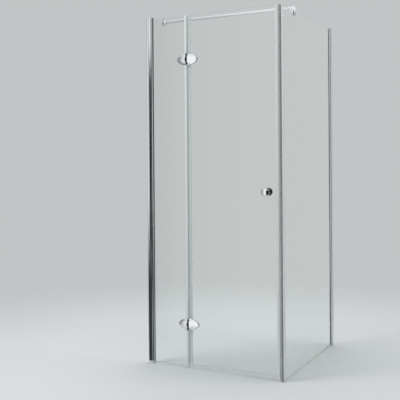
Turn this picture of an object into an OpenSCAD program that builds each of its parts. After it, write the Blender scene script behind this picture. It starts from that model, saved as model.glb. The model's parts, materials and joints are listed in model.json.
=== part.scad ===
// Corner shower enclosure: a hinged glass door between a narrow fixed panel and a return panel.
// X runs from the left wall to the right, Y from the front into the shower, Z up from the tray.
// All places below are counted from the left wall, the front glass's middle plane and the tray.

/* [Enclosure] */
// Height of the wall profiles with their caps
overall_h = 2000; // [1700:10:2200]
// Left wall to the middle plane of the return panel
front_w = 832; // [760:1:1000]
// Front glass's middle plane to the back wall
side_d = 850; // [700:1:1000]
// Left wall to the hinge axis
hinge_x = 263; // [240:1:300]

/* [Glass] */
// Thickness of every pane
glass_t = 6; // [5:0.5:8]
// How far the panes end below the profile tops
glass_drop = 10; // [6:1:20]
// Underside of the fixed panes above the tray
panel_lift = 3; // [2:0.5:6]
// Underside of the door pane above the tray
door_lift = 12; // [10:0.5:18]
// Gap between the fixed pane and the door pane
pane_gap = 6; // [4:0.5:8]
// Ground arris on the pane edges
arris = 0.8; // [0.3:0.1:1.2]

/* [Wall profiles] */
// Width of the wall channel across the glass
channel_w = 24; // [22:0.5:30]
// Depth of the wall channel from the wall
channel_d = 28; // [24:1:36]
// Wall thickness of the channel
channel_t = 1.8; // [1.4:0.1:2.4]
// Bow of the channel's two cheeks
cheek_bow = 1.2; // [0.6:0.1:2]
// Free play on each side between channel and glazing profile
slide_gap = 0.2; // [0.1:0.05:0.4]
// How far the glazing profile stands out of the channel
profile_out = 10; // [6:1:16]
// Length of the glazing profile along the pane
profile_d = 30; // [26:1:34]
// Wall thickness of the glazing profile
profile_t = 1.6; // [1.2:0.1:2.2]
// How deep the pane sits in the glazing profile
glass_grip = 15; // [12:1:18]
// Thickness of the wedge gaskets beside the pane
gasket_t = 2.4; // [1.8:0.1:3]
// Thickness of the profile's end cap
cap_t = 2; // [1.5:0.5:4]

/* [Fixings] */
// Radius of the wall fixing holes
wall_hole_r = 2.6; // [2:0.1:3.5]
// Distance of the outer wall fixing holes from the channel's ends
wall_hole_inset = 150; // [80:10:300]
// Radius of the locking screws between channel and glazing profile
lock_screw_r = 1.9; // [1.5:0.1:2.5]
// Distance of the outer locking screws from the channel's ends
lock_screw_inset = 180; // [100:10:350]

/* [Hinges] */
// Width of the oval cover
cover_w = 130; // [116:1:150]
// Height of the oval cover
cover_h = 66; // [60:1:80]
// How far the cover's crown stands off the glass
cover_out = 15; // [14:0.5:18]
// Distance of each hinge from the pane's end
hinge_inset = 248; // [200:1:300]
// Thickness of the inner clamp plates
plate_t = 6; // [5:0.5:8]
// Thickness of the soft gaskets between glass and metal
pad_t = 1; // [0.5:0.1:1.5]
// Radius of the barrel
barrel_r = 4.6; // [4.2:0.1:5]
// Length of the barrel
barrel_h = 62; // [50:1:64]
// Length of the door's knuckle in the middle of the barrel
door_knuckle_h = 26; // [16:1:30]
// Radius of the pin
pin_r = 2.25; // [1.8:0.05:2.5]
// Wall of the plain bush
bush_t = 1; // [0.6:0.1:1.2]
// Distance from the axis to the crown's front
axis_back = 5; // [4.8:0.1:5.4]
// Largest opening angle of the door
swing_max = 110; // [90:1:115]
// Distance of the clamp screws from the axis
screw_x = 32; // [28:1:38]
// Height of the clamp screws above and below the hinge's middle
screw_z = 13; // [11:0.5:15]
// Radius of the clamp screws
screw_r = 3; // [2.5:0.1:3.2]
// Radius of the sleeved holes in the glass
sleeve_r = 7; // [6:0.5:8]

/* [Knob] */
// Distance from the knob's axis to the return panel's middle plane
knob_inset = 92; // [80:1:160]
// Height of the knob's axis above the tray
knob_z = 1000; // [850:10:1150]
// Radius of the knob's head
knob_r = 21; // [18:0.5:25]
// Length of one knob
knob_len = 38; // [34:1:45]
// Radius of the knob's waist
waist_r = 15; // [12.5:0.5:16]
// Radius of the dome on the knob's face
face_bow = 27; // [26:1:40]
// Radius of the stud between the knobs
stud_r = 4; // [3:0.5:5]

/* [Seals] */
// Wall of the clear sealing strips
seal_t = 1; // [0.8:0.1:1.2]
// How far the strips clip over the glass
seal_grip = 14; // [10:1:18]
// Width of the soft fin behind the hinge gap
fin_w = 26; // [16:1:30]
// Width of one magnet chamber
magnet_w = 10; // [8:0.5:12]
// Depth of one magnet chamber
magnet_d = 11; // [9:0.5:13]
// Gap between the closed magnet chambers
magnet_gap = 0.6; // [0.5:0.1:1.5]
// Reach of the drip seal's deflector
deflector_out = 12; // [8:1:16]

/* [Stabiliser bar] */
// Diameter of the bar
bar_d = 16; // [14:0.5:20]
// Wall of the bar's tube
bar_t = 1.5; // [1:0.1:2]
// Distance of the bar behind the front glass
bar_y = 187; // [150:1:300]
// Underside of the bar above the panes' top edge
bar_lift = 10; // [8:0.5:14]
// Diameter of the wall flange
flange_d = 44; // [42:1:50]
// Distance between the flange's two holes
flange_hole_step = 34; // [33:0.5:36]
// Diameter of the glass clamp's head
clamp_d = 36; // [32:1:42]
// Thickness of the clamp's outer cheek
outer_cheek = 10; // [7:0.5:12]
// Thickness of the clamp's inner cheek
inner_cheek = 16; // [12:0.5:20]

/* [Hidden] */
$fn = 48;

chrome = [0.86, 0.87, 0.88];
satin = [0.78, 0.79, 0.80];
clear_glass = [0.72, 0.84, 0.82, 0.45];
clear_vinyl = [0.80, 0.84, 0.86];
soft_grey = [0.55, 0.57, 0.58];
magnet_grey = [0.30, 0.31, 0.32];
steel = [0.62, 0.63, 0.64];
white_nylon = [0.93, 0.93, 0.91];

// Clearances
fit = 0.02;
running = 0.05;
loose = 0.3;
beyond = 1;
far = 400;

// Panes
glass_face = glass_t / 2;
glass_top = overall_h - glass_drop;
profile_h = overall_h - cap_t;
profile_end = channel_d + profile_out;
profile_back = profile_end - profile_d;
glass_start = profile_end - glass_grip;
fixed_right = hinge_x - pane_gap / 2;
door_left = hinge_x + pane_gap / 2;
side_front = -glass_face - seal_t;

// Wall profiles
profile_half = channel_w / 2 - channel_t - slide_gap;
lock_x = (profile_back + channel_d) / 2;
lock_head_r = 2 * lock_screw_r;
lock_reach = 4;
lock_head_h = 2.2;
lock_cross_len = 2.6;
lock_cross_w = 0.8;
function along_height(inset) = [inset, overall_h / 2, overall_h - inset];

// Closing edge, from the return panel towards the door
strike_left = front_w - glass_face - magnet_w;
door_seal_right = strike_left - magnet_gap;
door_right = door_seal_right - magnet_w;

// Hinges
axis_y = -glass_face - cover_out + axis_back;
hinge_zs = [hinge_inset, glass_top - hinge_inset];
lower_z = hinge_zs[0];
upper_z = hinge_zs[1];
edge_x = barrel_r + 2 * loose;
bush_r = pin_r + bush_t;
flange_t = 1;
pin_cap_t = 1.5;
pin_cap_bevel = 0.8;
bore_depth = 5.5;
chamfer_angle = (180 - swing_max - 4) / 2;
web_behind = cover_out - axis_back - pad_t;

// Knob
knob_x = front_w - knob_inset;
washer_t = 1;
washer_inset = 2;
washer_r = waist_r - washer_inset;
knob_sleeve_t = 2;
knob_sleeve_r = stud_r + knob_sleeve_t;
knob_face = glass_face + washer_t;

// Stabiliser bar
bar_r = bar_d / 2;
bar_z = glass_top + bar_lift + bar_r;
clamp_z = glass_top + bar_lift - clamp_d / 2;
clamp_out = glass_face + pad_t + outer_cheek;
clamp_in = glass_face + pad_t + inner_cheek;
socket_len = 18;
bar_cap_t = 2;
bar_cap_peg = 6;
grub_drop = 2;
screw_back = 0.5;
key_r = 1.5;
head_edge = 2;
flange_plate_t = 4;
boss_t = 3.5;
boss_r = bar_r + boss_t;
slot_roof = glass_top + 1;
bar_screw_r = 2.5;

// Whole part
reach_right = max(clamp_out, channel_w / 2 + cheek_bow);
reach_front = knob_face + knob_len;
overall_x = front_w + reach_right;

module in_frame() {
    translate([-overall_x / 2, -(side_d - reach_front) / 2, 0]) children();
}

// The return panel's pieces are drawn as the front's, from the wall along X with the shower at +Y
module along_side() {
    translate([front_w, side_d, 0]) rotate([0, 0, -90]) mirror([0, 1, 0]) children();
}

module box(low, high) {
    translate(low) cube(high - low);
}

module rect(low, high) {
    translate(low) square(high - low);
}

module rod_y(x, z, y0, y1, r) {
    translate([x, y0, z]) rotate([-90, 0, 0]) cylinder(h = y1 - y0, r = r);
}

module rod_x(y, z, x0, x1, r) {
    translate([x0, y, z]) rotate([0, 90, 0]) cylinder(h = x1 - x0, r = r);
}

module mirrored_y() {
    children();
    mirror([0, 1, 0]) children();
}

module mirrored_x() {
    children();
    mirror([1, 0, 0]) children();
}

// Wall profiles

// One cheek of the channel: flat inside, bowed outside, with a round lip
module cheek_section() {
    half = channel_w / 2;
    len = channel_d - channel_t / 2;
    bow_r = (len * len / 4 + cheek_bow * cheek_bow) / (2 * cheek_bow);
    intersection() {
        rect([0, half - channel_t], [len, half + cheek_bow]);
        translate([len / 2, half + cheek_bow - bow_r]) circle(r = bow_r, $fn = 180);
    }
    translate([len, half - channel_t / 2]) circle(d = channel_t);
}

module channel_section() {
    half = channel_w / 2;
    rib = 1.2;
    back_t = channel_t + 0.4;
    rect([0, -half], [back_t, half]);
    mirrored_y() {
        cheek_section();
        rect([channel_t, half / 2 - rib / 2], [back_t + 1.5 * rib, half / 2 + rib / 2]);
    }
}

module wall_channel() {
    difference() {
        linear_extrude(profile_h) channel_section();
        for (z = along_height(wall_hole_inset)) rod_x(0, z, -beyond, channel_d, wall_hole_r);
        for (z = along_height(lock_screw_inset)) {
            rod_y(lock_x, z, 0, channel_w, lock_screw_r + loose);
            rod_y(lock_x, z, channel_w / 2, channel_w, lock_head_r + loose);
        }
    }
}

module glazing_section() {
    half = profile_half;
    jaw = glass_face + gasket_t;
    corner = profile_t;
    rect([profile_back, -half], [profile_back + profile_t, half]);
    rect([glass_start - profile_t - loose, -half], [glass_start - loose, half]);
    mirrored_y() {
        rect([profile_back, half - profile_t], [profile_end - corner, half]);
        translate([profile_end - corner, half - corner]) circle(r = corner);
        rect([profile_end - 2 * profile_t, jaw], [profile_end, half - corner]);
        rect([glass_start - loose, jaw], [glass_start + profile_t, half - corner]);
    }
}

module glazing_profile() {
    difference() {
        linear_extrude(profile_h) glazing_section();
        for (z = along_height(lock_screw_inset)) rod_y(lock_x, z, 0, channel_w, lock_screw_r + fit);
    }
}

module glazing_gaskets() {
    bead = gasket_t / 2;
    linear_extrude(glass_top - panel_lift) mirrored_y() {
        rect([glass_start + 2 * profile_t, glass_face], [profile_end, glass_face + gasket_t]);
        rect([profile_end - bead, glass_face], [profile_end + bead / 2, glass_face + gasket_t]);
        translate([profile_end + bead / 2, glass_face + bead]) circle(r = bead);
    }
}

module lock_screws() {
    face = channel_w / 2;
    top = face + lock_head_h;
    cross = [lock_cross_len, lock_head_h, lock_cross_w];
    for (z = along_height(lock_screw_inset)) translate([lock_x, 0, z]) difference() {
        union() {
            rod_y(0, 0, profile_half - profile_t - lock_reach, face, lock_screw_r);
            rod_y(0, 0, face, top, lock_head_r);
        }
        for (turn = [0, 90]) translate([0, top, 0]) rotate([0, turn, 0]) cube(cross, center = true);
    }
}

module profile_cap() {
    half = channel_w / 2;
    peg = [profile_back + profile_t + loose, glass_start - profile_t - 2 * loose];
    peg_half = profile_half - profile_t - loose;
    corner = 2;
    peg_len = 8;
    translate([0, 0, profile_h]) linear_extrude(cap_t) {
        rect([0, -half], [profile_end - corner, half]);
        rect([profile_end - corner, -half + corner], [profile_end, half - corner]);
        mirrored_y() translate([profile_end - corner, half - corner]) circle(r = corner);
        mirrored_y() cheek_section();
    }
    box([peg[0], -peg_half, profile_h - peg_len], [peg[1], peg_half, profile_h]);
}

module front_wall_channel() color(satin) in_frame() wall_channel();
module side_wall_channel() color(satin) in_frame() along_side() wall_channel();
module front_glazing_profile() color(chrome) in_frame() glazing_profile();
module side_glazing_profile() color(chrome) in_frame() along_side() glazing_profile();
module front_glazing_gaskets() color(soft_grey) in_frame() translate([0, 0, panel_lift]) glazing_gaskets();
module side_glazing_gaskets() color(soft_grey) in_frame() along_side() translate([0, 0, panel_lift]) glazing_gaskets();
module front_lock_screws() color(steel) in_frame() lock_screws();
module side_lock_screws() color(steel) in_frame() along_side() lock_screws();
module front_profile_cap() color(chrome) in_frame() profile_cap();
module side_profile_cap() color(chrome) in_frame() along_side() profile_cap();

// Panes

module pane(x0, x1, z0) {
    translate([0, 0, z0]) linear_extrude(glass_top - z0) polygon([
        [x0, -glass_face + arris], [x0 + arris, -glass_face], [x1 - arris, -glass_face],
        [x1, -glass_face + arris], [x1, glass_face - arris], [x1 - arris, glass_face],
        [x0 + arris, glass_face], [x0, glass_face - arris]
    ]);
}

module clamp_places(side) {
    for (z = hinge_zs, dz = [-screw_z, screw_z])
        translate([hinge_x + side * screw_x, 0, z + dz]) children();
}

module fixed_panel_glass() color(clear_glass) in_frame() difference() {
    pane(glass_start, fixed_right, panel_lift);
    clamp_places(-1) rod_y(0, 0, -glass_t, glass_t, sleeve_r);
}

module door_glass() color(clear_glass) in_frame() difference() {
    pane(door_left, door_right, door_lift);
    clamp_places(1) rod_y(0, 0, -glass_t, glass_t, sleeve_r);
    rod_y(knob_x, knob_z, -glass_t, glass_t, knob_sleeve_r);
}

module side_panel_glass() color(clear_glass) in_frame() along_side()
    pane(glass_start, side_d - side_front, panel_lift);

// Hinge covers: the dome is a barrel turned about the hinge's long axis and cut by the glass face

module dome() {
    half_w = cover_w / 2;
    half_h = cover_h / 2;
    round_r = (half_h * half_h / cover_out + cover_out) / 2;
    bow_r = (half_w * half_w / cover_out + cover_out) / 2;
    translate([0, round_r - cover_out, 0]) rotate([0, 90, 0]) rotate_extrude($fn = 96)
        intersection() {
            translate([round_r - bow_r, 0]) circle(r = bow_r, $fn = 180);
            rect([0, -half_w], [round_r, half_w]);
        }
}

// The oval between two depths off the glass, on one side of the hinge's split
module half_oval(side, depth0, depth1) {
    intersection() {
        dome();
        box([side > 0 ? edge_x : -cover_w, -depth1, -cover_h], [side > 0 ? cover_w : -edge_x, -depth0, cover_h]);
    }
}

// Wedge in front of the axis that lets one half fold against the other
module fold_wedge(side) {
    drop = far * tan(chamfer_angle);
    linear_extrude(2 * cover_h, center = true) polygon([
        [0, 0], [side * far, -drop], [side * far, -drop - far], [0, -far]
    ]);
}

module knuckle(side, z0, z1) {
    lean = 1.5;
    translate([0, 0, z0]) {
        cylinder(h = z1 - z0, r = barrel_r);
        box([side > 0 ? 0 : -edge_x - loose, -lean, 0], [side > 0 ? edge_x + loose : 0, web_behind, z1 - z0]);
    }
}

module outer_half(side) {
    gap = door_knuckle_h / 2 + flange_t;
    difference() {
        union() {
            difference() {
                translate([0, -glass_face, 0]) half_oval(side, pad_t, cover_out);
                translate([0, axis_y, 0]) fold_wedge(side);
            }
            translate([0, axis_y, 0]) {
                if (side > 0) knuckle(side, -door_knuckle_h / 2, door_knuckle_h / 2);
                if (side < 0) for (up = [0, 1]) mirror([0, 0, up]) knuckle(side, gap, barrel_h / 2);
            }
        }
        translate([0, axis_y, -barrel_h]) cylinder(h = 2 * barrel_h, r = (side > 0 ? bush_r : pin_r) + fit);
        for (dz = [-screw_z, screw_z])
            rod_y(side * screw_x, dz, -glass_face - pad_t - bore_depth, 0, screw_r + fit);
    }
}

module at_hinge(z) {
    translate([hinge_x, 0, z]) children();
}

module inner_half(side) {
    head_r = 2 * screw_r;
    difference() {
        translate([0, glass_face, 0]) mirror([0, 1, 0]) half_oval(side, pad_t, pad_t + plate_t);
        for (dz = [-screw_z, screw_z]) translate([side * screw_x, glass_face + pad_t, dz]) {
            rod_y(0, 0, -beyond, plate_t + beyond, screw_r + loose);
            rotate([-90, 0, 0]) translate([0, 0, plate_t - head_r / 2]) cylinder(h = head_r, r1 = head_r / 2, r2 = 3 * head_r / 2);
        }
    }
}

module cover_gaskets(side) {
    for (z = hinge_zs) at_hinge(z) mirrored_y() difference() {
        translate([0, -glass_face, 0]) half_oval(side, 0, pad_t);
        for (dz = [-screw_z, screw_z])
            rod_y(side * screw_x, dz, -cover_out, 0, screw_r + loose);
    }
}

module clamp_sleeves(side) {
    clamp_places(side) difference() {
        rod_y(0, 0, -glass_face, glass_face, sleeve_r - loose);
        rod_y(0, 0, -glass_t, glass_t, screw_r + loose);
    }
}

module clamp_screws(side) {
    head_r = 2 * screw_r;
    tip_gap = 0.5;
    flush = 0.2;
    socket_r = 2;
    socket_depth = 2;
    tip = -glass_face - pad_t - bore_depth + tip_gap;
    back = glass_face + pad_t + plate_t;
    clamp_places(side) difference() {
        union() {
            rod_y(0, 0, tip, back - head_r / 2, screw_r);
            translate([0, back - head_r / 2, 0]) rotate([-90, 0, 0])
                cylinder(h = head_r / 2 - flush, r1 = head_r / 2, r2 = head_r - flush);
        }
        translate([0, back - socket_depth, 0]) rotate([-90, 0, 0])
            cylinder(h = socket_depth + beyond, r = socket_r, $fn = 6);
    }
}

module hinge_pin() {
    translate([hinge_x, axis_y, -barrel_h / 2]) cylinder(h = barrel_h, r = pin_r);
}

module pin_cap() {
    cylinder(h = pin_cap_t - pin_cap_bevel, r = barrel_r);
    translate([0, 0, pin_cap_t - pin_cap_bevel])
        cylinder(h = pin_cap_bevel, r1 = barrel_r, r2 = barrel_r - pin_cap_bevel);
}

module bush() {
    half = door_knuckle_h / 2;
    difference() {
        union() {
            translate([0, 0, loose]) cylinder(h = half - loose, r = bush_r);
            translate([0, 0, half]) cylinder(h = flange_t - 2 * running, r = barrel_r - loose);
        }
        translate([0, 0, -beyond]) cylinder(h = 2 * half, r = pin_r + running);
    }
}

module upper_fixed_cover() color(chrome) in_frame() at_hinge(upper_z) outer_half(-1);
module lower_fixed_cover() color(chrome) in_frame() at_hinge(lower_z) outer_half(-1);
module upper_door_cover() color(chrome) in_frame() at_hinge(upper_z) outer_half(1);
module lower_door_cover() color(chrome) in_frame() at_hinge(lower_z) outer_half(1);
module upper_fixed_clamp_plate() color(chrome) in_frame() at_hinge(upper_z) inner_half(-1);
module lower_fixed_clamp_plate() color(chrome) in_frame() at_hinge(lower_z) inner_half(-1);
module upper_door_clamp_plate() color(chrome) in_frame() at_hinge(upper_z) inner_half(1);
module lower_door_clamp_plate() color(chrome) in_frame() at_hinge(lower_z) inner_half(1);
module fixed_cover_gaskets() color(soft_grey) in_frame() cover_gaskets(-1);
module door_cover_gaskets() color(soft_grey) in_frame() cover_gaskets(1);
module fixed_clamp_sleeves() color(white_nylon) in_frame() clamp_sleeves(-1);
module door_clamp_sleeves() color(white_nylon) in_frame() clamp_sleeves(1);
module fixed_clamp_screws() color(steel) in_frame() clamp_screws(-1);
module door_clamp_screws() color(steel) in_frame() clamp_screws(1);
module upper_hinge_pin() color(steel) in_frame() translate([0, 0, upper_z]) hinge_pin();
module lower_hinge_pin() color(steel) in_frame() translate([0, 0, lower_z]) hinge_pin();

module hinge_pin_caps() color(chrome) in_frame()
    for (z = hinge_zs, up = [0, 1]) translate([hinge_x, axis_y, z])
        mirror([0, 0, up]) translate([0, 0, barrel_h / 2]) pin_cap();

module hinge_bushes() color(white_nylon) in_frame()
    for (z = hinge_zs, up = [0, 1]) translate([hinge_x, axis_y, z]) mirror([0, 0, up]) bush();

// Knob: a turned drum with a waist and a domed face, its foot on the washer at y = 0, its head at +Y

module knob() {
    flank_r = 34;
    waist_at = 6;
    rotate([-90, 0, 0]) difference() {
        rotate_extrude($fn = 72) difference() {
            intersection() {
                rect([0, 0], [knob_r, knob_len]);
                translate([0, knob_len - face_bow]) circle(r = face_bow, $fn = 180);
            }
            translate([waist_r + flank_r, waist_at]) circle(r = flank_r, $fn = 120);
        }
        translate([0, 0, -beyond]) cylinder(h = knob_len / 2 + beyond, r = stud_r + fit);
    }
}

module outer_knob() color(chrome) in_frame()
    translate([knob_x, -knob_face, knob_z]) mirror([0, 1, 0]) knob();
module inner_knob() color(chrome) in_frame() translate([knob_x, knob_face, knob_z]) knob();

module knob_stud() color(steel) in_frame()
    rod_y(knob_x, knob_z, -knob_face - knob_len / 2 + 1, knob_face + knob_len / 2 - 1, stud_r);

module knob_washers() color(soft_grey) in_frame() mirrored_y() difference() {
    rod_y(knob_x, knob_z, glass_face, knob_face, washer_r);
    rod_y(knob_x, knob_z, 0, knob_face + beyond, stud_r + loose);
}

module knob_sleeve() color(white_nylon) in_frame() difference() {
    rod_y(knob_x, knob_z, -glass_face, glass_face, knob_sleeve_r - loose);
    rod_y(knob_x, knob_z, -glass_t, glass_t, stud_r + loose);
}

// Seals

// Legs and web of a strip that clips over a pane's edge at x = 0, the pane lying towards -X
module clip_section() {
    half = glass_face + seal_t;
    difference() {
        rect([-seal_grip, -half], [seal_t, half]);
        rect([-seal_grip - beyond, -glass_face], [0, glass_face]);
    }
}

module chamber_section() {
    difference() {
        rect([0, -magnet_d / 2], [magnet_w, magnet_d / 2]);
        rect([seal_t, -magnet_d / 2 + seal_t], [magnet_w - seal_t, magnet_d / 2 - seal_t]);
    }
}

module magnet_section() {
    rect([seal_t + running, -magnet_d / 2 + seal_t + running],
         [magnet_w - seal_t - running, magnet_d / 2 - seal_t - running]);
}

// The fin starts above the drip seal, and the whole strip stops short of each hinge
module hinge_gap_seal() color(clear_vinyl) in_frame() translate([fixed_right, 0, 0]) {
    clear = cover_h / 2 + 1;
    fin_start = door_lift + seal_grip + loose;
    stops = [panel_lift, lower_z - clear, lower_z + clear, upper_z - clear, upper_z + clear, glass_top];
    for (i = [0 : 2 : 4]) {
        low = stops[i];
        high = stops[i + 1];
        fin_low = max(low, fin_start);
        translate([0, 0, low]) linear_extrude(high - low) clip_section();
        translate([0, 0, fin_low]) linear_extrude(high - fin_low)
            rect([0, glass_face + loose], [fin_w, glass_face + loose + seal_t]);
    }
}

module door_magnet_seal() color(clear_vinyl) in_frame() translate([door_right, 0, door_lift])
    linear_extrude(glass_top - door_lift) {
        clip_section();
        chamber_section();
    }

module door_magnet() color(magnet_grey) in_frame() translate([door_right, 0, door_lift])
    linear_extrude(glass_top - door_lift) magnet_section();

module strike_seal() color(clear_vinyl) in_frame() translate([0, 0, panel_lift])
    linear_extrude(glass_top - panel_lift) {
        translate([front_w, side_front]) rotate(-90) clip_section();
        translate([strike_left, 0]) chamber_section();
    }

module strike_magnet() color(magnet_grey) in_frame() translate([strike_left, 0, panel_lift])
    linear_extrude(glass_top - panel_lift) magnet_section();

module drip_section() {
    lip = 1.2;
    floor_gap = 1.5;
    drop = 5;
    half = glass_face + seal_t;
    thin = seal_t / 4;
    translate([0, door_lift]) difference() {
        rect([-half, -seal_t], [half, seal_grip]);
        rect([-glass_face, 0], [glass_face, seal_grip + beyond]);
    }
    rect([-lip / 2, floor_gap], [lip / 2, door_lift - seal_t / 2]);
    polygon([
        [glass_face, door_lift - 3 * thin], [glass_face + deflector_out, door_lift - drop],
        [glass_face + deflector_out, door_lift - drop + seal_t], [glass_face, door_lift - thin]
    ]);
}

module door_drip_seal() color(clear_vinyl) in_frame() difference() {
    translate([door_left, 0, 0]) rotate([90, 0, 90]) linear_extrude(door_right - door_left) drip_section();
    box([door_right - seal_grip, -channel_w, door_lift], [door_right + beyond, channel_w, 2 * door_lift + seal_grip]);
}

module foot_strip(x0, x1) {
    leg = 9;
    half = glass_face + seal_t;
    translate([x0, 0, 0]) rotate([90, 0, 90]) linear_extrude(x1 - x0) difference() {
        rect([-half, 0], [half, panel_lift + leg]);
        rect([-glass_face, panel_lift], [glass_face, panel_lift + leg + beyond]);
    }
}

module fixed_panel_foot_strip() color(clear_vinyl) in_frame()
    foot_strip(profile_end + gasket_t, fixed_right - seal_grip - loose);
module side_panel_foot_strip() color(clear_vinyl) in_frame() along_side()
    foot_strip(profile_end + gasket_t, side_d - side_front - seal_grip - loose);

// Stabiliser bar

module stabiliser_bar() color(chrome) in_frame() difference() {
    rod_x(bar_y, bar_z, flange_plate_t, front_w + clamp_out - bar_cap_t, bar_r);
    rod_x(bar_y, bar_z, 0, front_w + clamp_out, bar_r - bar_t);
    translate([front_w, bar_y, slot_roof]) cylinder(h = bar_z - slot_roof, r = bar_screw_r + fit);
}

module bar_end_cap() color(chrome) in_frame() translate([front_w + clamp_out - bar_cap_t, bar_y, bar_z])
    rotate([0, 90, 0]) {
        rotate_extrude() intersection() {
            rect([0, 0], [bar_r, bar_cap_t]);
            translate([0, bar_cap_t - 2 * bar_r]) circle(r = 2 * bar_r, $fn = 96);
        }
        translate([0, 0, -bar_cap_peg]) cylinder(h = bar_cap_peg, r = bar_r - bar_t - fit);
    }

module bar_wall_flange() color(chrome) in_frame() translate([0, bar_y, bar_z]) difference() {
    union() {
        rod_x(0, 0, 0, flange_plate_t, flange_d / 2);
        rod_x(0, 0, 0, flange_plate_t + socket_len, boss_r);
    }
    rod_x(0, 0, flange_plate_t, far, bar_r + fit);
    for (side = [-1, 1])
        rod_x(side * flange_hole_step / 2, 0, -beyond, flange_plate_t + beyond, wall_hole_r);
    translate([flange_plate_t + socket_len / 2, 0, -boss_r - beyond])
        cylinder(h = boss_r, r = bar_screw_r + fit);
}

module bar_set_screw() color(steel) in_frame()
    translate([flange_plate_t + socket_len / 2, bar_y, bar_z - boss_r + screw_back]) difference() {
        cylinder(h = boss_r - bar_r - screw_back, r = bar_screw_r);
        translate([0, 0, -beyond]) cylinder(h = beyond + key_r, r = key_r, $fn = 6);
    }

module clamp_head() {
    edge = head_edge;
    r = clamp_d / 2;
    len = clamp_out + clamp_in;
    translate([-clamp_in, 0, 0]) rotate([0, 90, 0]) rotate_extrude($fn = 72) {
        rect([0, 0], [r, len - edge]);
        rect([0, 0], [r - edge, len]);
        translate([r - edge, len - edge]) circle(r = edge);
    }
}

module bar_glass_clamp() color(chrome) in_frame() translate([front_w, bar_y, 0]) difference() {
    slot = glass_face + pad_t;
    neck = bar_r - 1;
    sink = 2;
    union() {
        translate([0, 0, clamp_z]) clamp_head();
        box([-clamp_in + head_edge, -neck, clamp_z], [clamp_out - head_edge, neck, bar_z]);
    }
    rod_x(0, bar_z, -far, far, bar_r + fit);
    box([-slot, -clamp_d, clamp_z - clamp_d], [slot, clamp_d, slot_roof]);
    translate([0, 0, slot_roof - beyond]) cylinder(h = far, r = bar_screw_r + fit);
    translate([0, 0, slot_roof - beyond]) cylinder(h = sink + beyond, r = slot - loose);
    rod_x(0, clamp_z - grub_drop, -clamp_in - beyond, -slot + beyond, screw_r + fit);
}

module bar_clamp_pads() color(soft_grey) in_frame() translate([front_w, bar_y, 0]) intersection() {
    mirrored_x() rod_x(0, clamp_z, glass_face, glass_face + pad_t, clamp_d / 2 - head_edge);
    box([-far, -far, 0], [far, far, glass_top]);
}

module bar_clamp_grub_screw() color(steel) in_frame() translate([front_w, bar_y, clamp_z - grub_drop]) difference() {
    rod_x(0, 0, -clamp_in + screw_back, -glass_face - pad_t, screw_r);
    translate([-clamp_in, 0, 0]) rotate([0, 90, 0]) cylinder(h = screw_r + screw_back, r = key_r, $fn = 6);
}

module bar_fixing_screw() color(steel) in_frame() translate([front_w, bar_y, 0]) difference() {
    head_h = 1.8;
    tip = 2;
    union() {
        translate([0, 0, slot_roof]) cylinder(h = head_h, r = glass_face);
        translate([0, 0, slot_roof]) cylinder(h = bar_lift + bar_t + tip, r = bar_screw_r);
    }
    translate([0, 0, slot_roof - beyond]) cylinder(h = head_h / 2 + beyond, r = key_r, $fn = 6);
}

front_wall_channel();
front_glazing_profile();
front_glazing_gaskets();
front_lock_screws();
front_profile_cap();
fixed_panel_glass();
fixed_panel_foot_strip();
hinge_gap_seal();
upper_fixed_cover();
lower_fixed_cover();
upper_fixed_clamp_plate();
lower_fixed_clamp_plate();
fixed_cover_gaskets();
fixed_clamp_sleeves();
fixed_clamp_screws();
upper_hinge_pin();
lower_hinge_pin();
hinge_pin_caps();
side_wall_channel();
side_glazing_profile();
side_glazing_gaskets();
side_lock_screws();
side_profile_cap();
side_panel_glass();
side_panel_foot_strip();
strike_seal();
strike_magnet();
stabiliser_bar();
bar_end_cap();
bar_wall_flange();
bar_set_screw();
bar_glass_clamp();
bar_clamp_pads();
bar_clamp_grub_screw();
bar_fixing_screw();
door_glass();
upper_door_cover();
lower_door_cover();
upper_door_clamp_plate();
lower_door_clamp_plate();
door_cover_gaskets();
door_clamp_sleeves();
door_clamp_screws();
hinge_bushes();
outer_knob();
inner_knob();
knob_stud();
knob_washers();
knob_sleeve();
door_magnet_seal();
door_magnet();
door_drip_seal();
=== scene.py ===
# %% [markdown]
# This file dresses a hinged shower door: a swinging glass pane between a narrow fixed pane and a
# return pane, with oval hinge covers, turned knobs, clear seals and a stabiliser bar along the top.
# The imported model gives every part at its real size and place. Blender adds the finishes, the
# rounded edges, the domed pin caps, the light and the camera.

# %% Load the frame
import json
import math

import bmesh
import bpy
from mathutils import Matrix, Vector


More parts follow.
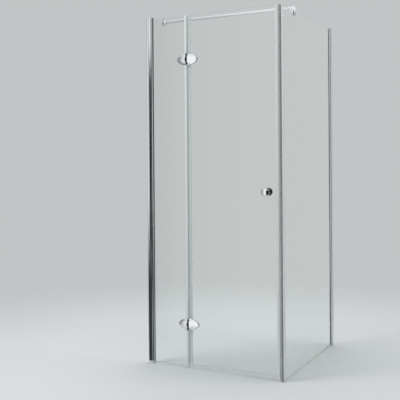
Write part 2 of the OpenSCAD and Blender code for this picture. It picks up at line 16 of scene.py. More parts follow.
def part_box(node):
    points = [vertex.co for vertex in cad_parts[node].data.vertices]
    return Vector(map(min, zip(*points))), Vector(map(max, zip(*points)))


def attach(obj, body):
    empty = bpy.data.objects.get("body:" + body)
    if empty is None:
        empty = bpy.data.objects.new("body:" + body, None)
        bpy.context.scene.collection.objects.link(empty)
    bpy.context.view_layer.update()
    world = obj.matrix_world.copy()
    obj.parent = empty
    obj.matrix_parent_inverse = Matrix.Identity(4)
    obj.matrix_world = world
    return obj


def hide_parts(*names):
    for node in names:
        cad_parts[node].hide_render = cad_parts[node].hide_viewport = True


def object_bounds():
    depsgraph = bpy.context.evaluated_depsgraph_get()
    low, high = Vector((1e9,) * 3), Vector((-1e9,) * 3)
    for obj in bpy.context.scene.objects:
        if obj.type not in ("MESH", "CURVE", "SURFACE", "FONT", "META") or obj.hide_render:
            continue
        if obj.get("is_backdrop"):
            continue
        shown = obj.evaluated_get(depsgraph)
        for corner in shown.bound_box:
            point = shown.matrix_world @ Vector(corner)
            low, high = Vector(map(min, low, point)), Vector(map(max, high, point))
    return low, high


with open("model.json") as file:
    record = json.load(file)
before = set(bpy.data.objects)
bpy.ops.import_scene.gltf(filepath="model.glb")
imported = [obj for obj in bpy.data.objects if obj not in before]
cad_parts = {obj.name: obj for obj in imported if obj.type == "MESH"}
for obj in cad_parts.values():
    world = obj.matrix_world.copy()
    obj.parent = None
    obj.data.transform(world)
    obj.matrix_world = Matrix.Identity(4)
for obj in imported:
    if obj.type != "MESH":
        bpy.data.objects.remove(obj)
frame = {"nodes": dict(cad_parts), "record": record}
cad_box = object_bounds()
nodes = frame["nodes"]
MM = 0.001
QUARTER_TURN = math.radians(90)

# %% [markdown]
# The photograph was taken level, from the right of the door. Its verticals stay upright because the
# lens was shifted and not tilted, as architectural photographers do. A camera that is simply aimed
# at the object would tilt, so this one is level too, and its view is moved down with a lens shift.
# It leans by less than half a degree, as the photograph does. The focal length, the place and the
# turn all come from the picture's 400 pixels and the spacing of the enclosure's straight edges.

# %% Camera
PHOTO_PX, FOCAL_PX, HORIZON_PX = 400, 697, 163
SENSOR_MM = 36
eye = Vector((1720, -3859, 1157)) * MM
turn_left = math.radians(27.57)
lean = math.radians(0.41)

camera_data = bpy.data.cameras.new("photo_camera")
camera_data.sensor_width = SENSOR_MM
camera_data.lens = FOCAL_PX / PHOTO_PX * SENSOR_MM
camera_data.shift_y = (HORIZON_PX - PHOTO_PX / 2) / PHOTO_PX
camera = bpy.data.objects.new("photo_camera", camera_data)
upright = Matrix.Rotation(turn_left, 4, "Z") @ Matrix.Rotation(QUARTER_TURN, 4, "X")
camera.matrix_world = Matrix.Translation(eye) @ upright @ Matrix.Rotation(-lean, 4, "Z")
bpy.context.scene.collection.objects.link(camera)
bpy.context.scene.camera = camera
print("lens:", round(camera_data.lens, 1), "mm, shift:", round(camera_data.shift_y, 4))

# %% [markdown]
# Every finish is a node tree, so small helpers come first. A colour is picked on screen as an sRGB
# hex value, but a shader adds up light, so the value is turned to linear by the curve of the sRGB
# standard. The second helper adds one node, sets its values and joins whatever sockets it is given.
# The third starts a finish from Blender's general shader, which suits glass, metal and plastic.


# %% Helpers for finishes
def linear(hex_code):
    values = [int(hex_code[i : i + 2], 16) / 255 for i in (0, 2, 4)]
    return [v / 12.92 if v <= 0.04045 else ((v + 0.055) / 1.055) ** 2.4 for v in values] + [1.0]


def add(tree, kind, inputs=None, **settings):
    node = tree.nodes.new(kind)
    for name, value in settings.items():
        setattr(node, name, value)
    for socket, value in (inputs or {}).items():
        if isinstance(value, bpy.types.NodeSocket):
            tree.links.new(value, node.inputs[socket])
        else:
            node.inputs[socket].default_value = value
    return node


def new_finish(name):
    finish = bpy.data.materials.new(name)
    finish.use_nodes = True
    shader = finish.node_tree.nodes["Principled BSDF"]
    return finish, finish.node_tree, shader


print("mid grey in linear light:", round(linear("808080")[0], 3))

# %% [markdown]
# Glass and clear vinyl bend light, and without caustics a renderer then lets them cast a black
# shadow. Caustics could be switched on, but they are slow and speckled. Here the lamps' rays skip
# the real shader and pass a tinted transparent one, so the shadow is pale and clean.

# %% Helper for clear finishes
GLASS_SHADOW, VINYL_SHADOW = "E4EAE8", "C8CCCD"


def pass_lamp_rays(tree, shader, tint):
    through = add(tree, "ShaderNodeBsdfTransparent", {"Color": linear(tint)})
    ray = add(tree, "ShaderNodeLightPath")
    either = add(
        tree,
        "ShaderNodeMixShader",
        {"Fac": ray.outputs["Is Shadow Ray"], 1: shader.outputs["BSDF"], 2: through.outputs["BSDF"]},
    )
    tree.links.new(either.outputs["Shader"], tree.nodes["Material Output"].inputs["Surface"])


for name, tint in (("glass", GLASS_SHADOW), ("vinyl", VINYL_SHADOW)):
    print(name, "lets this share of the lamps' light through:", round(linear(tint)[1], 2))

# %% [markdown]
# Toughened glass is clear float glass that was heated and quenched. Seen face on it hardly has a
# colour, but light that travels along the pane meets its iron, so the edges are green. The edges
# could be painted green, but a volume that absorbs gives both from one value: six millimetres take
# almost nothing, and a long path takes a lot. The rollers in the furnace leave very shallow waves,
# which bend reflections a little, and the ground edges stay a little frosted. The front panes face
# along Y and the return pane along X, so the frosting asks which way the surface faces, and each
# direction gets its own finish.

# %% Finish: toughened glass
GLASS_IOR = 1.52
ROLLER_WAVE, WAVE_DEPTH = 300 * MM, 0.15 * MM
EDGE_BELOW, FACE_ABOVE = 0.6, 0.9
GROUND_EDGE, POLISHED_FACE = 0.22, 0.0
IRON_GREEN, IRON_DENSITY = "A4D8C4", 5.0


def toughened(name, face_axis):
    finish, tree, shader = new_finish(name)
    place = add(tree, "ShaderNodeTexCoord")
    waves = add(
        tree,
        "ShaderNodeTexNoise",
        {"Vector": place.outputs["Object"], "Scale": 1 / ROLLER_WAVE, "Detail": 1.0},
    )
    bump = add(
        tree,
        "ShaderNodeBump",
        {"Height": waves.outputs["Fac"], "Distance": WAVE_DEPTH, "Strength": 0.5},
    )
    facing = add(tree, "ShaderNodeSeparateXYZ", {"Vector": place.outputs["Normal"]})
    across = add(tree, "ShaderNodeMath", {0: facing.outputs[face_axis]}, operation="ABSOLUTE")
    frosting = add(
        tree,
        "ShaderNodeMapRange",
        {
            "Value": across.outputs["Value"],
            "From Min": EDGE_BELOW,
            "From Max": FACE_ABOVE,
            "To Min": GROUND_EDGE,
            "To Max": POLISHED_FACE,
        },
    )
    iron = add(
        tree,
        "ShaderNodeVolumeAbsorption",
        {"Color": linear(IRON_GREEN), "Density": IRON_DENSITY},
    )
    tree.links.new(bump.outputs["Normal"], shader.inputs["Normal"])
    tree.links.new(frosting.outputs["Result"], shader.inputs["Roughness"])
    tree.links.new(iron.outputs["Volume"], tree.nodes["Material Output"].inputs["Volume"])
    shader.inputs["Base Color"].default_value = linear("FAFCFB")
    shader.inputs["Transmission Weight"].default_value = 1.0
    shader.inputs["IOR"].default_value = GLASS_IOR
    pass_lamp_rays(tree, shader, GLASS_SHADOW)
    return finish


front_glass = toughened("toughened_glass_front", "Y")
return_glass = toughened("toughened_glass_return", "X")
print("glass finishes:", front_glass.name, return_glass.name)

# %% [markdown]
# Chrome plate is a thin bright layer over a polished casting. A plain mirror could stand for it, but
# the eye tells the two apart by the casting below: a faint orange peel, some millimetres wide, that
# softens reflections. So a noise of that size varies the roughness and raises a very shallow bump.
# Other finishes need the same two things from a pattern, so one helper does both.

# %% Finish: chrome plate
ORANGE_PEEL, PEEL_DEPTH = 9 * MM, 0.02 * MM


def uneven_sheen(tree, shader, pattern, smooth, rough, depth, strength):
    sheen = add(
        tree,
        "ShaderNodeMapRange",
        {"Value": pattern.outputs["Fac"], "To Min": smooth, "To Max": rough},
    )
    bump = add(
        tree,
        "ShaderNodeBump",
        {"Height": pattern.outputs["Fac"], "Distance": depth, "Strength": strength},
    )
    tree.links.new(sheen.outputs["Result"], shader.inputs["Roughness"])
    tree.links.new(bump.outputs["Normal"], shader.inputs["Normal"])


chrome, tree, shader = new_finish("polished_chrome_plate")
place = add(tree, "ShaderNodeTexCoord")
peel = add(
    tree,
    "ShaderNodeTexNoise",
    {"Vector": place.outputs["Object"], "Scale": 1 / ORANGE_PEEL, "Detail": 2.0},
)
uneven_sheen(tree, shader, peel, smooth=0.03, rough=0.07, depth=PEEL_DEPTH, strength=0.4)
shader.inputs["Base Color"].default_value = linear("EEF0F2")
shader.inputs["Metallic"].default_value = 1.0
print("chrome finish:", chrome.name)

# %% [markdown]
# The barrel that the door turns in lies in the slit between the two bright halves of each hinge, and
# there it looks dark.
# That dark is painted shade: the barrel gets black nickel, a plating that is nearly as smooth as
# chrome but mirrors only a little of the light, so the painted shade keeps the metal's highlights
# where black paint would lose them.
# The turned metal below it keeps fine tool marks. Real ones are a tenth of a millimetre apart, too
# fine to show here, so they are drawn about a millimetre apart and only vary the roughness.

# %% Finish: black nickel plate as painted shade
BARREL_MARK = 1.2 * MM


def turned(name, colour, mark, smooth, rough):
    finish, tree, shader = new_finish(name)
    place = add(tree, "ShaderNodeTexCoord")
    marks = add(
        tree,
        "ShaderNodeTexNoise",
        {"Vector": place.outputs["Object"], "Scale": 1 / mark, "Detail": 2.0},
    )
    sheen = add(
        tree,
        "ShaderNodeMapRange",
        {"Value": marks.outputs["Fac"], "To Min": smooth, "To Max": rough},
    )
    tree.links.new(sheen.outputs["Result"], shader.inputs["Roughness"])
    shader.inputs["Base Color"].default_value = linear(colour)
    shader.inputs["Metallic"].default_value = 1.0
    return finish


# Black nickel paints the shade of the hinge slit and the dark reflection on the knob waists.
painted_shade_nickel = turned("painted_shade_nickel_plate", "4A4B4D", BARREL_MARK, smooth=0.16, rough=0.28)
print("barrel finish:", painted_shade_nickel.name)

# %% [markdown]
# The wall profiles are extruded aluminium, polished and then anodised. The die leaves fine lines
# along the length, and the clear oxide softens the shine. The lines could be cut into the mesh, but
# a noise that is stretched along the profile gives them without a single face. Real lines are a few
# hundredths of a millimetre apart, too fine to show here, so they are drawn a millimetre apart.

# %% Finish: anodised aluminium
DIE_LINE, DIE_LINE_LENGTH, DIE_LINE_DEPTH = 1 * MM, 600 * MM, 0.01 * MM


def die_lines(tree, spacing, length, detail):
    place = add(tree, "ShaderNodeTexCoord")
    along = add(
        tree,
        "ShaderNodeMapping",
        {"Vector": place.outputs["Object"], "Scale": (1 / spacing, 1 / spacing, 1 / length)},
    )
    return add(
        tree,
        "ShaderNodeTexNoise",
        {"Vector": along.outputs["Vector"], "Scale": 1.0, "Detail": detail},
    )


def anodised(name, colour, smooth, rough):
    finish, tree, shader = new_finish(name)
    lines = die_lines(tree, DIE_LINE, DIE_LINE_LENGTH, detail=3.0)
    uneven_sheen(tree, shader, lines, smooth, rough, depth=DIE_LINE_DEPTH, strength=0.3)
    shader.inputs["Base Color"].default_value = linear(colour)
    shader.inputs["Metallic"].default_value = 1.0
    return finish


profile_finish = anodised("bright_anodised_aluminium", "E2E4E6", smooth=0.05, rough=0.11)
channel_finish = anodised("high_gloss_anodised_aluminium", "E8EAEC", smooth=0.05, rough=0.10)
print("aluminium finishes:", profile_finish.name, channel_finish.name)

# %% [markdown]
# Screws, pins and studs are turned from stainless steel. They could share the chrome, but the tool
# leaves rings on bare steel, so it looks brushed and a little darker. The rings are too fine to see
# one by one. They too are drawn coarser than they are, with the helper of the barrel's finish.

# %% Finish: stainless steel
SCREW_MARK = 0.8 * MM
steel = turned("turned_stainless_steel", "B9BBBD", SCREW_MARK, smooth=0.22, rough=0.38)
print("steel finish:", steel.name)

# %% [markdown]
# The seals are extruded clear vinyl, which is never as clear as glass: it scatters a little light
# inside, so it looks like milky water, and its surface has faint lines from the die, drawn here two
# millimetres apart so that they show. A scattering volume would be truer but slow and noisy. A
# shader that lets only a part of the light through looks the same at this size. The soft legs are
# milkiest. The pockets that hold the magnet strips are a harder, clearer grade.

# %% Finish: clear vinyl
VINYL_IOR = 1.53
FLOW_LINE, FLOW_LINE_LENGTH, FLOW_LINE_DEPTH = 2 * MM, 250 * MM, 0.05 * MM


def vinyl(name, colour, clearness, roughness):
    finish, tree, shader = new_finish(name)
    lines = die_lines(tree, FLOW_LINE, FLOW_LINE_LENGTH, detail=2.0)
    bump = add(
        tree,
        "ShaderNodeBump",
        {"Height": lines.outputs["Fac"], "Distance": FLOW_LINE_DEPTH, "Strength": 0.4},
    )
    tree.links.new(bump.outputs["Normal"], shader.inputs["Normal"])
    shader.inputs["Base Color"].default_value = linear(colour)
    shader.inputs["Transmission Weight"].default_value = clearness
    shader.inputs["Roughness"].default_value = roughness
    shader.inputs["IOR"].default_value = VINYL_IOR
    pass_lamp_rays(tree, shader, VINYL_SHADOW)
    return finish


clear_vinyl = vinyl("clear_extruded_vinyl", "F8FAFA", clearness=0.4, roughness=0.3)
door_pocket = vinyl("clear_pocket_vinyl_door", "F4F6F6", clearness=0.7, roughness=0.15)
strike_pocket = vinyl("clear_pocket_vinyl_strike", "E8EAEA", clearness=0.88, roughness=0.12)
print("vinyl finishes:", clear_vinyl.name, door_pocket.name, strike_pocket.name)

# %% [markdown]
# Five dull materials are left: the soft grey gaskets that keep metal off the glass, the black rubber
# in the bar's clamp, the bonded ferrite strip in the magnet seals, and two nylons. The sleeves are
# plain nylon, and the bushes that the door turns in are filled with graphite, which makes them
# slippery and nearly black. All five are moulded or extruded with a fine grain, so one function
# makes them from a colour, a grain size and a roughness. The grain is drawn at half a millimetre or
# more, coarser than it is, because a finer one would be lost.

# %% Finish: gaskets, magnet strip and nylon
GRAIN_DEPTH = 0.03 * MM
SHEEN_SPREAD = 0.08


def dull(name, colour, grain_mm, roughness):
    finish, tree, shader = new_finish(name)
    place = add(tree, "ShaderNodeTexCoord")
    grain = add(
        tree,
        "ShaderNodeTexNoise",
        {"Vector": place.outputs["Object"], "Scale": 1 / (grain_mm * MM), "Detail": 3.0},
    )
    smooth, rough = roughness - SHEEN_SPREAD, roughness + SHEEN_SPREAD
    uneven_sheen(tree, shader, grain, smooth, rough, depth=GRAIN_DEPTH, strength=0.4)
    shader.inputs["Base Color"].default_value = linear(colour)
    return finish


gasket = dull("soft_grey_gasket", "8C9092", grain_mm=0.7, roughness=0.6)
ferrite = dull("bonded_ferrite_strip", "46494C", grain_mm=0.5, roughness=0.7)
nylon = dull("natural_nylon", "E9E8E2", grain_mm=0.9, roughness=0.45)
graphite_nylon = dull("graphite_filled_nylon", "2E3032", grain_mm=0.9, roughness=0.4)
clamp_rubber = dull("black_clamp_rubber", "1E1F20", grain_mm=0.7, roughness=0.6)
dull_finishes = (gasket, ferrite, nylon, graphite_nylon, clamp_rubber)
print("dull finishes:", ", ".join(finish.name for finish in dull_finishes))

# %% [markdown]
# Each part now gets its finish. That could be done part by part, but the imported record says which
# material slot each one belongs to, so one dictionary is enough. Three parts differ: the return
# pane, because it faces another way, the hinge bushes, whose flanges show between the knuckles and
# are as dark as the barrel, and the pads of the bar's clamp, which are black rubber and show through
# the pane as a dark oval.

# %% Give each part its finish
FINISHES = {
    "toughened_glass": front_glass,
    "anodised_channel": channel_finish,
    "polished_profile": profile_finish,
    "chrome_plate": chrome,
    "stainless_steel": steel,
    "clear_vinyl": clear_vinyl,
    "soft_gasket": gasket,
    "magnet_strip": ferrite,
    "white_nylon": nylon,
}
slot_of = {part["node"]: part["material_slot"] for part in frame["record"]["subparts"]}
finish_of = {name: FINISHES[slot] for name, slot in slot_of.items()}
finish_of["side_panel_glass"] = return_glass
finish_of["hinge_bushes"] = graphite_nylon
finish_of["bar_clamp_pads"] = clamp_rubber
for name, part in nodes.items():
    part.data.materials.clear()
    part.data.materials.append(finish_of[name])
print("finished parts:", len(nodes))

# %% [markdown]
# Real metal never has a razor edge: castings are polished round and extrusions leave the die with
# small radii, and those radii catch the light as thin bright lines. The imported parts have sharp
# edges. A Bevel modifier could round them, but it would also fill inner corners, where neighbours
# sit. So each visible part gets a copy whose edges are picked here. The copy is merged first,
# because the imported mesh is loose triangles, and flat areas are dissolved so that the bevel has
# clean edges to follow. Only edges that stick out are rounded, so the bevel always takes material
# away and no part grows into its neighbour.

# %% Helper for eased edges
SHARP, FLAT = math.radians(32), math.radians(0.2)
SAME_POINT = 0.002 * MM
EASING_STEPS = 3
body_of = {
    name: body for body, names in frame["record"]["behaviour"]["bodies"].items() for name in names
}


def piece_from(bm, name):
    for face in bm.faces:
        face.smooth = True
    mesh = bpy.data.meshes.new(name)
    bm.to_mesh(mesh)
    bm.free()
    mesh.set_sharp_from_angle(angle=SHARP)
    return bpy.data.objects.new(name, mesh)


def replace_with(piece, name):
    piece.data.materials.append(finish_of[name])
    bpy.context.scene.collection.objects.link(piece)
    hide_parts(name)
    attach(piece, body_of[name])


def eased(name, radius_mm):
    bm = bmesh.new()
    bm.from_mesh(nodes[name].data)
    bmesh.ops.remove_doubles(bm, verts=bm.verts, dist=SAME_POINT)
    bmesh.ops.dissolve_limit(bm, angle_limit=FLAT, verts=bm.verts, edges=bm.edges)
    bmesh.ops.recalc_face_normals(bm, faces=bm.faces)
    edges = [e for e in bm.edges if e.is_manifold and e.is_convex and e.calc_face_angle() > SHARP]
    bmesh.ops.bevel(
        bm,
        geom=edges,
        offset=radius_mm * MM,
        affect="EDGES",
        segments=EASING_STEPS,
        profile=0.5,
        material=-1,
        clamp_overlap=True,
    )
    piece = piece_from(bm, name + "_eased")
    replace_with(piece, name)
    return piece


# %% [markdown]
# The radius is what the process leaves, in millimetres: 1.2 on the turned knobs, about a half on
# polished castings and caps, and less on extrusions. One radius for all could do, but it would blunt
# the thin lips of the profiles. The panes, the bar, the screws and all that is hidden keep the
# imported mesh, because their edges don't show or are round already.

# %% Eased parts
EASED = {
    "upper_fixed_clamp_plate": 0.4,
    "lower_fixed_clamp_plate": 0.4,
    "upper_door_clamp_plate": 0.4,
    "lower_door_clamp_plate": 0.4,
    "outer_knob": 1.2,
    "inner_knob": 1.2,
    "bar_wall_flange": 0.5,
    "bar_glass_clamp": 0.6,
    "bar_end_cap": 0.4,
    "front_wall_channel": 0.3,
    "side_wall_channel": 0.3,
    "front_glazing_profile": 0.3,
    "side_glazing_profile": 0.3,
    "front_profile_cap": 0.4,
    "side_profile_cap": 0.4,
    "hinge_gap_seal": 0.3,
    "strike_seal": 0.4,
    "door_magnet_seal": 0.4,
    "door_drip_seal": 0.3,
    "fixed_panel_foot_strip": 0.3,
    "side_panel_foot_strip": 0.3,
}
for name, radius in EASED.items():
    piece = eased(name, radius)
    print(piece.name, len(piece.data.polygons), "faces")

# %% [markdown]
# Both magnet seals are one extrusion with two grades of vinyl: soft legs that grip the pane, and a
# harder pocket round the magnet strip. The pocket could be a piece of its own, but on the real seal
# there is no joint. So the faces close to the magnet get the clearer vinyl as a second material, and
# the strip shows through as a grey band.

# %% Magnet pockets
POCKET_WALL = Vector((1.6, 1.6, 10)) * MM
POCKETS = (
    ("door_magnet_seal", "door_magnet", door_pocket),
    ("strike_seal", "strike_magnet", strike_pocket),
)


def second_finish(piece, finish, belongs):
    piece.data.materials.append(finish)
    chosen = [face for face in piece.data.polygons if belongs(face)]
    for face in chosen:
        face.material_index = 1
    print(piece.name, len(piece.data.polygons), "faces,", len(chosen), "in", finish.name)


for seal, magnet, vinyl_grade in POCKETS:
    low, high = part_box(magnet)
    second_finish(
        bpy.data.objects[seal + "_eased"],
        vinyl_grade,
        lambda face: all(
            a - wall < c < b + wall for a, wall, c, b in zip(low, POCKET_WALL, face.center, high)
        ),
    )

# %% [markdown]
# Each half is one chrome casting with its knuckles, but only the dome shows bright, and the knuckles
# in the slit look dark. Dome and knuckles could be cut apart, but a second material does it without
# a seam: faces close to the hinge axis get the dark plating, which paints the slit's shade onto
# them. The distance from the pin decides which faces these are.

# %% Hinge covers
COVER_RADIUS_MM = 0.5
BARREL_REACH = 5.4 * MM
for level in ("upper", "lower"):
    pin_low, pin_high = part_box(level + "_hinge_pin")
    axis = (pin_low + pin_high) / 2
    for side in ("fixed", "door"):
        cover = eased(level + "_" + side + "_cover", COVER_RADIUS_MM)
        # Faces near the pin get black nickel as painted shade of the slit.
        second_finish(
            cover, painted_shade_nickel, lambda face: (face.center - axis).xy.length < BARREL_REACH
        )

# %% [markdown]
# Each knob is turned as a drum with a waist. The domed face and its rim mirror bright light, but the
# waist mirrors dark surroundings and stays nearly black in the photograph, with one small highlight.
# It could be a ring of its own, but the knob is turned in one piece of chrome, so that dark
# reflection is painted: the waist's faces get the black nickel of the barrel. A face belongs to the
# waist when it looks away from the knob's own axis.

# %% Knob waists: painted dark reflection
WAIST_LEAN = 0.55
for name in ("outer_knob", "inner_knob"):
    knob = bpy.data.objects[name + "_eased"]
    # The waist faces get black nickel as painted dark reflection.
    second_finish(knob, painted_shade_nickel, lambda face: abs(face.normal.y) < WAIST_LEAN)

# %% [markdown]
# A small button closes each end of the barrel. A button is turned on a lathe, so it could be spun
# from a profile, but a short cylinder with a wide bevel on its outer edge gives the same dome with
# fewer steps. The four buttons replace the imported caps, which have one plain bevel.

# %% Pin caps
CAP_RADIUS, CAP_HEIGHT, CAP_DOME = 4.6 * MM, 1.5 * MM, 1.1 * MM
CAP_SIDES, DOME_STEPS = 64, 5
bm = bmesh.new()
for level in ("upper", "lower"):
    pin_low, pin_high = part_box(level + "_hinge_pin")
    axis = (pin_low + pin_high) / 2
    for end_z, up in ((pin_high.z, 1), (pin_low.z, -1)):
        button = bmesh.ops.create_cone(
            bm,
            cap_ends=True,
            segments=CAP_SIDES,
            radius1=CAP_RADIUS,
            radius2=CAP_RADIUS,
            depth=CAP_HEIGHT,
        )["verts"]
        edges = {edge for vert in button for edge in vert.link_edges}
        rim = [edge for edge in edges if all(vert.co.z * up > 0 for vert in edge.verts)]
        spot = Vector((axis.x, axis.y, end_z + up * CAP_HEIGHT / 2))
        bmesh.ops.translate(bm, verts=button, vec=spot)
        bmesh.ops.bevel(
            bm,
            geom=rim,
            offset=CAP_DOME,
            affect="EDGES",
            segments=DOME_STEPS,
            profile=0.5,
            material=-1,
            clamp_overlap=True,
        )
bmesh.ops.recalc_face_normals(bm, faces=bm.faces)
pin_caps = piece_from(bm, "domed_pin_caps")
replace_with(pin_caps, "hinge_pin_caps")
print("pin caps:", len(pin_caps.data.polygons), "faces")

# %% [markdown]
# The stage is a pale floor under soft lamps. A floor that ends in a curved backdrop is usual, but
# its edge or curve would show through the panes. So this floor keeps the shadow close to the object,
# and further out it turns transparent, so that the world shows through and no horizon cuts the
# glass. In mirrors it ends sooner, so that metal sees the cards almost down to its foot.

# %% Floor
BACKGROUND = linear("C2C4C5")
FLOOR_WIDTH = 60
FADE_START, FADE_END = 1.0, 3.2
MIRROR_SHARE = 0.45
bpy.ops.mesh.primitive_grid_add(x_subdivisions=4, y_subdivisions=4, size=FLOOR_WIDTH)
floor = bpy.context.object
floor.name = "floor"
floor_finish, tree, shader = new_finish("pale_floor")
shader.inputs["Base Color"].default_value = linear("D6D8D9")
shader.inputs["Roughness"].default_value = 0.7
place = add(tree, "ShaderNodeTexCoord")
distance = add(tree, "ShaderNodeVectorMath", {0: place.outputs["Object"]}, operation="LENGTH")
ray = add(tree, "ShaderNodeLightPath")
reach = add(
    tree,
    "ShaderNodeMapRange",
    {"Value": ray.outputs["Glossy Depth"], "To Min": 1.0, "To Max": 1 / MIRROR_SHARE},
)
seen_from = add(
    tree,
    "ShaderNodeMath",
    {0: distance.outputs["Value"], 1: reach.outputs["Result"]},
    operation="MULTIPLY",
)
fade = add(
    tree,
    "ShaderNodeMapRange",
    {"Value": seen_from.outputs["Value"], "From Min": FADE_START, "From Max": FADE_END},
    interpolation_type="SMOOTHSTEP",
)
far_floor = add(tree, "ShaderNodeBsdfTransparent")
blend = add(
    tree,
    "ShaderNodeMixShader",
    {"Fac": fade.outputs["Result"], 1: shader.outputs["BSDF"], 2: far_floor.outputs["BSDF"]},
)
tree.links.new(blend.outputs["Shader"], tree.nodes["Material Output"].inputs["Surface"])
floor.data.materials.append(floor_finish)
floor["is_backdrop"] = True
print("floor fades out from", FADE_START, "to", FADE_END, "m")

# %% [markdown]
# Metal is only as good as what it mirrors. A photographer sets white and black cards round chrome.
# Real cards could stand in the scene, but here the world does that without shadows: whatever a
# mirror sees has a brightness that depends on the compass direction, and overhead it is a white
# ceiling. Zero is straight in front of the door, and the right side counts up. The camera and the
# clear view through the panes see the plain colour only.

# %% World
CARDS = [
    (-180, "A8AAAC"),
    (-150, "A8AAAC"),
    (-120, "909294"),
    (-85, "96989A"),
    (-64, "98999A"),
    (-52, "DADCDE"),
    (-45, "E8E9EA"),
    (-36, "E8E9EA"),
    (-32, "868889"),
    (-29, "E0E1E2"),
    (-23, "FFFFFF"),
    (14, "FFFFFF"),
    (22, "C8CACC"),
    (28, "202122"),
    (72, "18191A"),
    (92, "606264"),
    (108, "8C8E90"),
    (148, "A0A2A4"),
    (156, "D4D6D7"),
    (166, "D4D6D7"),
    (172, "A8AAAC"),
]
CEILING = linear("F4F6F8")
CEILING_STARTS, CEILING_FULL = 0.45, 0.85
world = bpy.data.worlds.new("pale_studio")
world.use_nodes = True
bpy.context.scene.world = world
tree = world.node_tree
place = add(tree, "ShaderNodeTexCoord")
direction = add(tree, "ShaderNodeSeparateXYZ", {"Vector": place.outputs["Generated"]})
front = add(tree, "ShaderNodeMath", {0: direction.outputs["Y"], 1: -1.0}, operation="MULTIPLY")
compass = add(
    tree,
    "ShaderNodeMath",
    {0: direction.outputs["X"], 1: front.outputs["Value"]},
    operation="ARCTAN2",
)
turn = add(
    tree,
    "ShaderNodeMapRange",
    {"Value": compass.outputs["Value"], "From Min": -math.pi, "From Max": math.pi},
)
ramp = add(tree, "ShaderNodeValToRGB", {"Fac": turn.outputs["Result"]})
ramp.color_ramp.interpolation = "EASE"
while len(ramp.color_ramp.elements) < len(CARDS):
    ramp.color_ramp.elements.new(0.5)
for element, (degrees, colour) in zip(ramp.color_ramp.elements, CARDS):
    element.position = (degrees + 180) / 360
    element.color = linear(colour)
overhead = add(
    tree,
    "ShaderNodeMapRange",
    {"Value": direction.outputs["Z"], "From Min": CEILING_STARTS, "From Max": CEILING_FULL},
    interpolation_type="SMOOTHSTEP",
)
studio = add(
    tree,
    "ShaderNodeMix",
    {"Factor": overhead.outputs["Result"], "A": ramp.outputs["Color"], "B": CEILING},
    data_type="RGBA",
)
ray = add(tree, "ShaderNodeLightPath")
mirrored = add(
    tree,
    "ShaderNodeMath",
    {0: ray.outputs["Glossy Depth"], 1: 1.0},
    operation="MINIMUM",
)
seen = add(
    tree,
    "ShaderNodeMix",
    {"Factor": mirrored.outputs["Value"], "A": BACKGROUND, "B": studio.outputs["Result"]},
    data_type="RGBA",
)
tree.links.new(seen.outputs["Result"], tree.nodes["Background"].inputs["Color"])
print("studio cards:", len(CARDS))

# %% [markdown]
# Black flags stand close to the wall profile, as a photographer would place them, so that a dark
# line runs down its bowed cheek beside the bright one. They could be placed by trial, but the law of
# mirrors gives the place: a ray from the camera meets the metal, turns about the surface's own
# direction, and the flag must stand on that ray. Only mirrors see the flags, and a fade at both ends
# keeps their outline out of the metal.


# %% Helpers for flags
def mirror_spot(point, facing_degrees, distance):
    facing = math.radians(facing_degrees)
    normal = Vector((math.sin(facing), -math.cos(facing), 0.0))
    ray = (point - eye).normalized()
    return point + (ray - 2 * ray.dot(normal) * normal) * distance


def hide_from(thing, *rays):
    for kind in rays:
        setattr(thing, "visible_" + kind, False)


def fading_cloth(name, tone, bottom, low_fade, top, high_fade):
    cloth, tree, shader = new_finish(name)
    place = add(tree, "ShaderNodeTexCoord")
    height = add(tree, "ShaderNodeSeparateXYZ", {"Vector": place.outputs["Object"]})
    starting, ending = [
        add(
            tree,
            "ShaderNodeMapRange",
            {"Value": height.outputs["Z"], "From Min": gone_at, "From Max": full_at},
            interpolation_type="SMOOTHSTEP",
        )
        for gone_at, full_at in ((bottom, bottom + low_fade), (top, top - high_fade))
    ]
    cloth_share = add(
        tree,
        "ShaderNodeMath",
        {0: starting.outputs["Result"], 1: ending.outputs["Result"]},
        operation="MULTIPLY",
    )
    black = add(tree, "ShaderNodeEmission", {"Color": linear(tone)})
    gone = add(tree, "ShaderNodeBsdfTransparent")
    blend = add(
        tree,
        "ShaderNodeMixShader",
        {"Fac": cloth_share.outputs["Value"], 1: gone.outputs["BSDF"], 2: black.outputs["Emission"]},
    )
    tree.links.new(blend.outputs["Shader"], tree.nodes["Material Output"].inputs["Surface"])
    return cloth


channel_low, channel_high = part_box("front_wall_channel")
lip = Vector((channel_high.x, channel_low.y, eye.z))
print("camera to the wall profile's lip:", round((lip - eye).length, 2), "m")

# %% [markdown]
# A flag could have any outline, and a plain upright rectangle is enough, because only its two
# upright sides and its fades show in the metal. The tall flag draws the dark line beside the lip,
# and the low one darkens the whole profile towards its foot. Three angles say which way the metal
# faces where the line begins, at the lip and at the wall. Both flags stand only 25 millimetres off
# the metal: there the hinges hardly see them, and the mirrored floor hides no more than the last two
# centimetres of the line.

# %% Flags
FLAG_DISTANCE = 25 * MM
DARK_WIDTH = 9.5 * MM
DARK_FROM, DARK_TO, WALL_SIDE = 0.5, 10.0, -12.0
TALL_TRIM, LOW_LEFT, LOW_RIGHT = 3 * MM, 8 * MM, 2 * MM


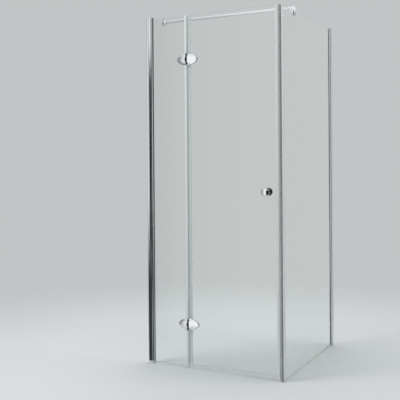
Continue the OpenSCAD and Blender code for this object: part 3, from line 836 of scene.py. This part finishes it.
def flag(name, tone, left, right, y, **heights):
    bottom, top = heights["bottom"], heights["top"]
    bm = bmesh.new()
    bmesh.ops.create_grid(bm, x_segments=1, y_segments=1, size=0.5)
    bmesh.ops.scale(bm, verts=bm.verts, vec=(right - left, top - bottom, 1.0))
    stand_up = Matrix.Rotation(QUARTER_TURN, 3, "X")
    bmesh.ops.rotate(bm, verts=bm.verts, cent=(0, 0, 0), matrix=stand_up)
    middle = ((left + right) / 2, y, (bottom + top) / 2)
    bmesh.ops.translate(bm, verts=bm.verts, vec=middle)
    mesh = bpy.data.meshes.new(name)
    bm.to_mesh(mesh)
    bm.free()
    mesh.materials.append(fading_cloth(name + "_cloth", tone, **heights))
    panel = bpy.data.objects.new(name, mesh)
    hide_from(panel, "camera", "diffuse", "transmission", "volume_scatter", "shadow")
    bpy.context.scene.collection.objects.link(panel)
    panel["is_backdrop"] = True
    print(name, "from x", round(left, 3), "to", round(right, 3), "at y", round(y, 3))


wall_edge = Vector((channel_low.x, channel_low.y, eye.z))
before_lip = lip - Vector((DARK_WIDTH, 0, 0))
left = mirror_spot(before_lip, DARK_FROM, FLAG_DISTANCE)
right = mirror_spot(lip, DARK_TO, FLAG_DISTANCE)
tall = {"bottom": 0.4, "low_fade": 0.35, "top": 1.9, "high_fade": 0.3}
flag("tall_flag", "1E1F20", left.x, right.x - TALL_TRIM, left.y, **tall)
left = mirror_spot(wall_edge, WALL_SIDE, FLAG_DISTANCE)
low = {"bottom": -0.2, "low_fade": 0.1, "top": 1.0, "high_fade": 0.55}
flag("low_flag", "3A3B3C", left.x - LOW_LEFT, right.x + LOW_RIGHT, right.y, **low)

# %% [markdown]
# Two large soft lamps model the form and a third fills from above. Small lamps would draw hard
# shadows of every profile on the floor. The lamps are hidden from mirrors and from the view through
# the panes, because the world already shows them there, and a lamp's square would spoil the glass.

# %% Lamps
centre = (cad_box[0] + cad_box[1]) / 2


def soft_lamp(name, direction, distance, size, power):
    data = bpy.data.lights.new(name, "AREA")
    data.shape = "RECTANGLE"
    data.size, data.size_y = size
    data.energy = power
    lamp = bpy.data.objects.new(name, data)
    lamp.location = centre + Vector(direction).normalized() * distance
    lamp.rotation_euler = (centre - lamp.location).to_track_quat("-Z", "Y").to_euler()
    hide_from(lamp, "camera", "glossy", "transmission")
    bpy.context.scene.collection.objects.link(lamp)
    print(name, power, "W at", [round(v, 2) for v in lamp.location])


soft_lamp("key_lamp", direction=(-0.8, -1.0, 0.9), distance=4.5, size=(1.6, 2.4), power=90)
soft_lamp("right_lamp", direction=(1.0, 0.2, 0.8), distance=4.5, size=(1.2, 2.4), power=45)
soft_lamp("top_lamp", direction=(0.0, 0.2, 1.0), distance=3.5, size=(2.5, 2.5), power=40)

# %% [markdown]
# A ray needs many steps to leave the enclosure: each pane has two faces, and the seals and chrome
# add more. A ray that runs out of steps turns black, so the limits are raised far enough that no
# pane darkens.

# %% Render settings
GLASS_STEPS, MIRROR_STEPS = 24, 8
scene = bpy.context.scene
scene.view_settings.view_transform = "Standard"
scene.cycles.max_bounces = GLASS_STEPS
scene.cycles.transmission_bounces = GLASS_STEPS
scene.cycles.transparent_max_bounces = GLASS_STEPS
scene.cycles.glossy_bounces = MIRROR_STEPS
print("bounces:", scene.cycles.max_bounces)

# %% [markdown]
# The dressed model must stay as large as the construction, so both boxes are printed.

# %% Print the sizes
boxes = {"cad": cad_box, "visual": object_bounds()}
for name, box in boxes.items():
    print(name, "box:", [round(v, 4) for corner in box for v in corner])
